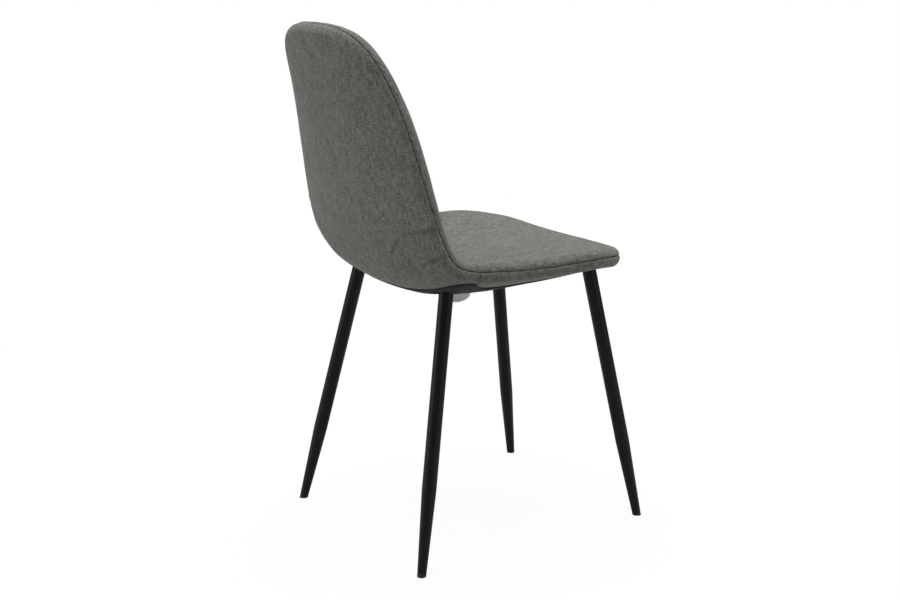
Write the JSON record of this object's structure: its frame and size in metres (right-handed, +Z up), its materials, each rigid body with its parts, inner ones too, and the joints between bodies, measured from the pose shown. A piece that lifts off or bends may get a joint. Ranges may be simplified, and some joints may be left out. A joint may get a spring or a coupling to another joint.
{
  "type": "dining chair",
  "caption": "Armless dining chair with a padded, fabric-covered bucket shell on splayed tapered metal legs.",
  "frame": {"origin": "middle of the chair's box on the floor, between the feet", "axes": "+Z up, +X to the left hand of the sitter, -Y towards the front lip of the seat"},
  "size_m": [0.4606, 0.543, 0.8739],
  "materials": {
    "shell_board": "moulded, matt",
    "foam": "soft foam, stood in by fabric",
    "seat_fabric": "woven grey melange",
    "back_fabric": "woven grey melange",
    "border_fabric": "woven grey melange",
    "dust_cloth": "thin black spun cloth",
    "label_cloth": "blank satin tape",
    "leg_metal": "satin black powder coat",
    "glide_plastic": "matt black",
    "block_wood": "black stained",
    "bolt_steel": "black zinc",
    "insert_steel": "zinc plated"
  },
  "bodies": {
    "root": {"block_screws": "insert_steel", "care_label": "label_cloth", "dust_cover": "dust_cloth", "foot_glide_front_left": "glide_plastic", "foot_glide_front_right": "glide_plastic", "foot_glide_rear_left": "glide_plastic", "foot_glide_rear_right": "glide_plastic", "front_foam_pad": "foam", "inner_fabric_cover": "seat_fabric", "leg_block_front_left": "block_wood", "leg_block_front_right": "block_wood", "leg_block_rear_left": "block_wood", "leg_block_rear_right": "block_wood", "leg_front_left": "leg_metal", "leg_front_right": "leg_metal", "leg_plate_front_left": "leg_metal", "leg_plate_front_right": "leg_metal", "leg_plate_rear_left": "leg_metal", "leg_plate_rear_right": "leg_metal", "leg_rear_left": "leg_metal", "leg_rear_right": "leg_metal", "plate_bolts": "bolt_steel", "plate_washers": "bolt_steel", "rear_fabric_panel": "back_fabric", "rear_foam_pad": "foam", "seat_border_panel": "border_fabric", "shell_core": "shell_board", "threaded_inserts": "insert_steel"}
  },
  "joints": []
}
